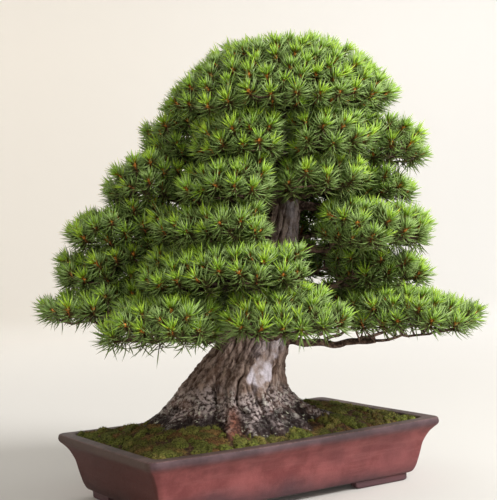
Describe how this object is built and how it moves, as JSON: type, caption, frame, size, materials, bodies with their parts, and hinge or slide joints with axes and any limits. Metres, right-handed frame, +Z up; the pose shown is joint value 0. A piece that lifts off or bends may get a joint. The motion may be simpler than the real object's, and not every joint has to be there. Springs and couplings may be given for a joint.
{
  "type": "bonsai tree in a pot",
  "caption": "Pine bonsai with a flared, ridged trunk and a dense tiered cone of needle pads, growing in a mossy, wide-lipped rectangular clay pot on low corner feet.",
  "frame": {"origin": "centre of the bounding box's bottom face, on the surface the pot stands on", "axes": "+Z up, +X along the pot's long side, -Y the pot's front"},
  "size_m": [0.7566, 0.6792, 0.814],
  "materials": {
    "clay": "unglazed red-brown stoneware, matte, with a grey ash tint low on the walls and a lilac-brown lip",
    "bark": "rough grey-brown flaking pine bark with dark fissures and pale lichen",
    "needles": "fine pine needles, bright yellow-green when new and darker blue-green when old, with a slight sheen",
    "soil": "dark, crumbly, moist soil",
    "moss": "short velvety moss, green with yellow-brown patches",
    "plastic_net": "black plastic drainage net",
    "aluminium_wire": "soft brown anodised aluminium wire"
  },
  "bodies": {
    "root": {"branch_tier1_back": "bark", "branch_tier1_back_right": "bark", "branch_tier1_front": "bark", "branch_tier1_front_left": "bark", "branch_tier1_left": "bark", "branch_tier1_right": "bark", "branch_tier2_back": "bark", "branch_tier2_front": "bark", "branch_tier2_left": "bark", "branch_tier2_right": "bark", "branch_tier3_back": "bark", "branch_tier3_front_left": "bark", "branch_tier3_left": "bark", "branch_tier3_right": "bark", "branch_tier4_back": "bark", "branch_tier4_front": "bark", "branch_tier4_front_left": "bark", "branch_tier4_left": "bark", "branch_tier4_right": "bark", "branch_tier5_back": "bark", "branch_tier5_front": "bark", "branch_tier5_front_left": "bark", "branch_tier5_left": "bark", "branch_tier5_right": "bark", "drain_screen_left": "plastic_net", "drain_screen_right": "plastic_net", "foliage_crown": "needles", "foliage_tier1_back": "needles", "foliage_tier1_back_right": "needles", "foliage_tier1_front": "needles", "foliage_tier1_front_left": "needles", "foliage_tier1_left": "needles", "foliage_tier1_right": "needles", "foliage_tier2_back": "needles", "foliage_tier2_front": "needles", "foliage_tier2_left": "needles", "foliage_tier2_right": "needles", "foliage_tier3_back": "needles", "foliage_tier3_front_left": "needles", "foliage_tier3_left": "needles", "foliage_tier3_right": "needles", "foliage_tier4_back": "needles", "foliage_tier4_front": "needles", "foliage_tier4_front_left": "needles", "foliage_tier4_left": "needles", "foliage_tier4_right": "needles", "foliage_tier5_back": "needles", "foliage_tier5_front": "needles", "foliage_tier5_front_left": "needles", "foliage_tier5_left": "needles", "foliage_tier5_right": "needles", "moss_front_left": "moss", "moss_front_right": "moss", "moss_right": "moss", "pot": "clay", "screen_wire_left": "aluminium_wire", "screen_wire_right": "aluminium_wire", "soil": "soil", "trunk_and_roots": "bark"}
  },
  "joints": []
}
